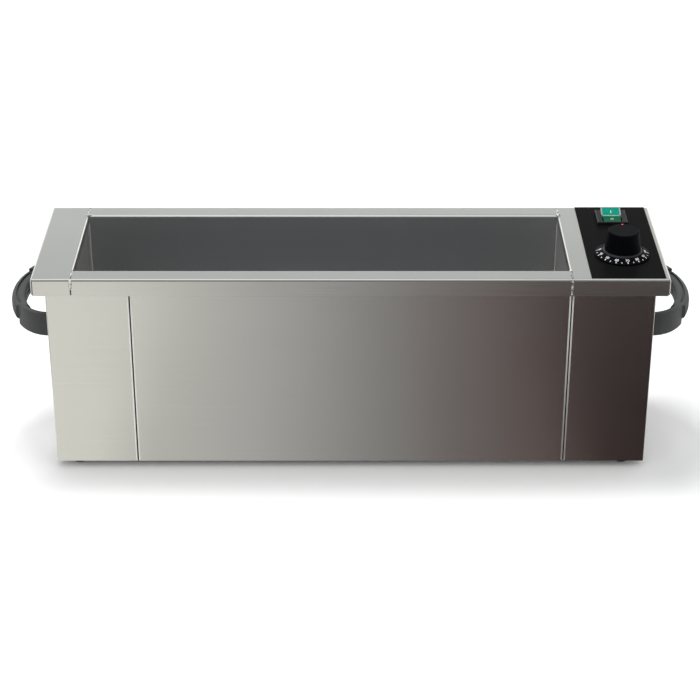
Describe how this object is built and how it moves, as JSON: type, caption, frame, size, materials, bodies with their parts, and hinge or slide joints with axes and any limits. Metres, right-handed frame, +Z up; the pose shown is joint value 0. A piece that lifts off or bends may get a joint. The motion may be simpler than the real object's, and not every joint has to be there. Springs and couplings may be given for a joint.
{
  "type": "electric bain-marie water bath",
  "caption": "Long countertop water bath in folded stainless sheet with a wide rim, an open tank, bow handles at both ends and a control panel with rocker switch and thermostat dial.",
  "frame": {"origin": "centre of the footprint on the surface it stands on", "axes": "+Z up, +X along the bath towards the controls, the operator stands at -Y"},
  "size_m": [0.885, 0.224, 0.3153],
  "materials": {
    "brushed_stainless": "brushed along the length, satin",
    "plain_stainless": "mill finish",
    "bright_fasteners": "bright zinc",
    "handle_plastic": "fine moulded texture",
    "label_film": "glossy black film",
    "switch_black": "satin",
    "switch_green": "translucent, glossy",
    "switch_clear": "clear moulded",
    "knob_plastic": "satin moulded",
    "dial_red": "printed dot",
    "foot_rubber": "matte",
    "brass": "plain",
    "zinc_steel": "zinc plated",
    "element_alloy": "dark oxidised sheath",
    "copper_tube": "plain copper",
    "insulation": "mineral wool",
    "limiter_plastic": "moulded",
    "reset_red": "moulded",
    "wire_black": "silicone sleeve",
    "wire_white": "silicone sleeve"
  },
  "bodies": {
    "cabinet": {"base_plate": "plain_stainless", "base_screws": "bright_fasteners", "cable_gland": "limiter_plastic", "clamp_nuts": "bright_fasteners", "clamp_studs": "bright_fasteners", "control_label": "label_film", "earth_nuts": "brass", "earth_stud": "brass", "element_clamps": "plain_stainless", "element_terminals": "brass", "feet": "foot_rubber", "foot_nuts": "bright_fasteners", "foot_screws": "bright_fasteners", "front_element_wire": "wire_white", "front_heating_element": "element_alloy", "front_panel": "brushed_stainless", "gland_nut": "limiter_plastic", "handle_screws": "bright_fasteners", "heat_shield": "plain_stainless", "insulation_mat": "insulation", "left_end_casing": "brushed_stainless", "left_handle": "handle_plastic", "left_rim_plate": "brushed_stainless", "limiter_bulb": "plain_stainless", "limiter_capillary": "copper_tube", "limiter_nut": "limiter_plastic", "rear_element_wire": "wire_white", "rear_heating_element": "element_alloy", "rear_panel": "brushed_stainless", "right_end_casing": "brushed_stainless", "right_handle": "handle_plastic", "right_rim_plate": "brushed_stainless", "safety_limiter": "limiter_plastic", "switch_bezel": "switch_black", "switch_body": "switch_black", "switch_return_wire": "wire_black", "switch_supply_wire": "wire_black", "switch_terminals": "brass", "tank": "brushed_stainless", "terminal_block": "limiter_plastic", "thermostat_body": "zinc_steel", "thermostat_bulb": "plain_stainless", "thermostat_capillary": "copper_tube", "thermostat_screws": "bright_fasteners", "thermostat_wire": "wire_black"},
    "knob": {"thermostat_knob": "knob_plastic", "knob_index_dot": "dial_red", "thermostat_spindle": "zinc_steel"},
    "rocker": {"switch_rocker": "switch_green", "rocker_frame": "switch_clear"},
    "reset": {"reset_button": "reset_red"}
  },
  "joints": [
    {"name": "knob_turn", "type": "hinge", "parent": "cabinet", "child": "knob", "pos_m": [0.347, -0.04, 0.28], "axis": [0, 0, -1], "range_deg": [0, 280]},
    {"name": "rocker_press", "type": "hinge", "parent": "cabinet", "child": "rocker", "pos_m": [0.3458, 0.072, 0.2826], "axis": [-1, 0, 0], "range_deg": [0, 21.6]},
    {"name": "reset_push", "type": "slide", "parent": "cabinet", "child": "reset", "axis": [0, 0, 1], "range_m": [0, 0.002], "stiffness_N_per_m": 400, "springref_m": -0.0005}
  ]
}
